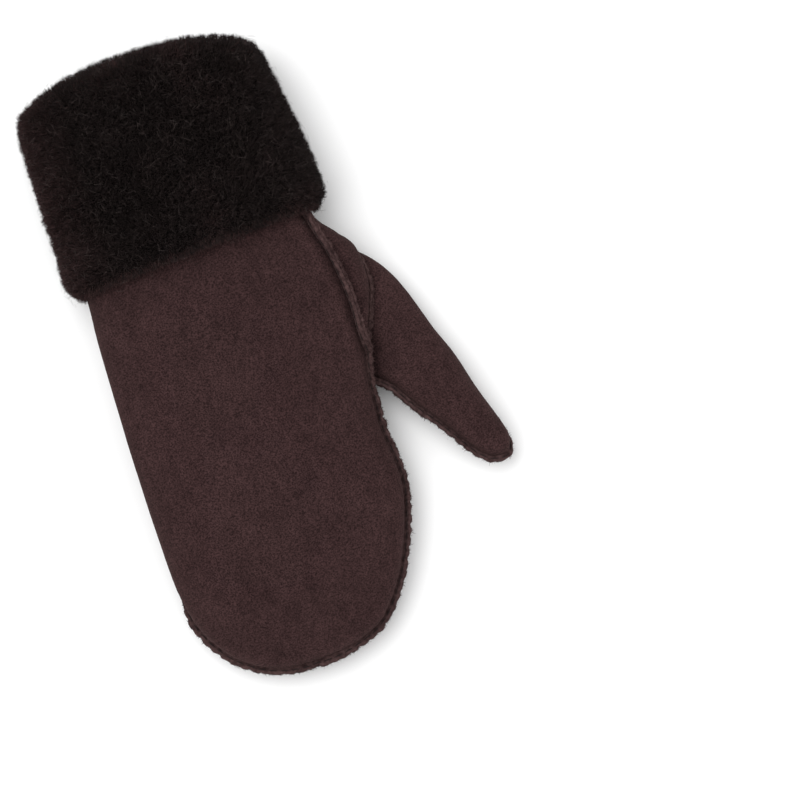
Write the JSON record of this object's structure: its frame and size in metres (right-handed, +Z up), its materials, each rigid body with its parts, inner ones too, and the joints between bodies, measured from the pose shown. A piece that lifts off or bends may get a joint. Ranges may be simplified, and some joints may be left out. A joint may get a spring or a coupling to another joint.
{
  "type": "leather mitten",
  "caption": "Sheepskin mitten for the right hand, suede outside and wool inside, with a raised raw-edged seam, a set-in thumb and a deep turned-back fur cuff.",
  "frame": {"origin": "middle of the bounding box in plan, on the surface that the mitten lies on", "axes": "+Z up, out of the back of the hand; +Y from the fingertips to the cuff; +X to the thumb's side"},
  "size_m": [0.1592, 0.2736, 0.0479],
  "materials": {
    "suede": "dark brown suede with a short nap",
    "raw_edge": "raw, frayed suede edge",
    "lining_wool": "clipped dark brown wool pile",
    "cuff_fur": "dense dark brown sheep's wool"
  },
  "bodies": {
    "root": {"hand_shell": "suede", "thumb_inner": "suede", "thumb_outer": "suede", "hand_seam": "raw_edge", "thumb_seam": "raw_edge", "thumb_hole_seam": "raw_edge", "wool_lining": "lining_wool", "thumb_lining": "lining_wool", "fur_cuff": "cuff_fur"}
  },
  "joints": []
}
